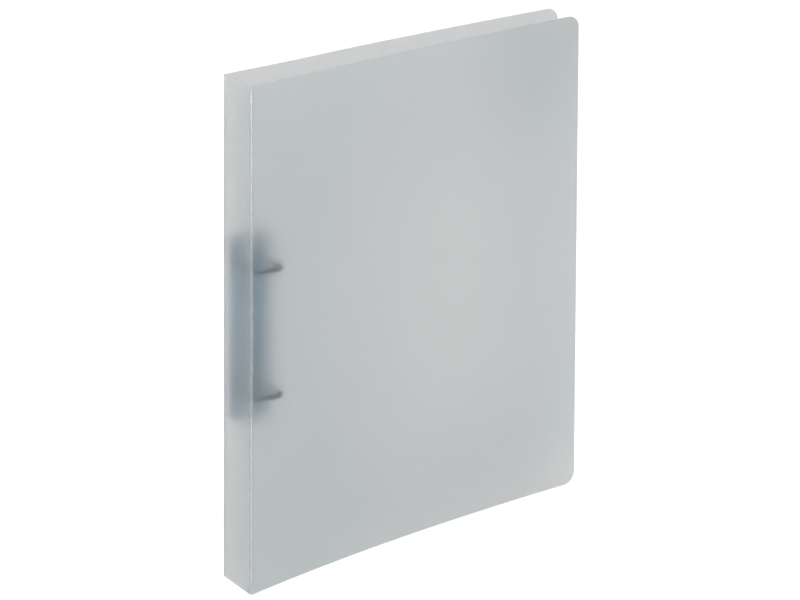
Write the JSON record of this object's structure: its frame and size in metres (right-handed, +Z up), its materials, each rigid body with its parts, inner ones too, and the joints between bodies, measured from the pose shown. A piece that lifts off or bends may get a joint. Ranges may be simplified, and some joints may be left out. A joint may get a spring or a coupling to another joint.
{
  "type": "ring binder",
  "caption": "Upright binder with a frosted plastic cover that folds along its spine and a riveted steel ring mechanism whose rings open together.",
  "frame": {"origin": "on the bottom edge of the spine panel, at the middle of its width and of its thickness; both fold axes are in the plane x = 0", "axes": "+X from the spine to the fore edge, +Y from the front cover to the back cover, +Z up"},
  "size_m": [0.262, 0.0324, 0.318],
  "materials": {
    "frosted_cover": "frosted translucent polypropylene, fine matte grain",
    "frosted_spine": "frosted translucent polypropylene, fine matte grain",
    "fold_web": "thin polypropylene, paler where it is scored",
    "plated_housing": "nickel plated sheet steel, satin",
    "plated_rail": "zinc plated sheet steel, satin",
    "plated_ring": "nickel plated steel wire, bright",
    "plated_rivet": "nickel plated steel, satin"
  },
  "bodies": {
    "back": {"back_cover": "frosted_cover", "back_fold": "fold_web", "mechanism_housing": "plated_housing", "upper_rivet": "plated_rivet", "lower_rivet": "plated_rivet"},
    "spine": {"spine_panel": "frosted_spine", "front_fold": "fold_web"},
    "front": {"front_cover": "frosted_cover"},
    "spine_side_carrier": {"spine_side_rail": "plated_rail", "upper_ring_curved_half": "plated_ring", "lower_ring_curved_half": "plated_ring"},
    "fore_side_carrier": {"fore_side_rail": "plated_rail", "upper_ring_straight_half": "plated_ring", "lower_ring_straight_half": "plated_ring"}
  },
  "joints": [
    {"name": "spine_fold", "type": "hinge", "parent": "back", "child": "spine", "pos_m": [0, 0.0153, 0], "axis": [0, 0, -1], "range_deg": [0, 175]},
    {"name": "front_cover_fold", "type": "hinge", "parent": "spine", "child": "front", "pos_m": [0, -0.0153, 0], "axis": [0, 0, -1], "range_deg": [0, 175]},
    {"name": "ring_opening", "type": "hinge", "parent": "back", "child": "spine_side_carrier", "pos_m": [0.00476, 0.01262, 0.1582], "axis": [0, 0, -1], "range_deg": [0, 12]},
    {"name": "fore_side_ring_opening", "type": "hinge", "parent": "back", "child": "fore_side_carrier", "pos_m": [0.02615, 0.01227, 0.1582], "axis": [0, 0, 1], "range_deg": [0, 12]}
  ],
  "couplings": [
    {"joint": "fore_side_ring_opening", "follows": "ring_opening", "ratio": 1}
  ]
}
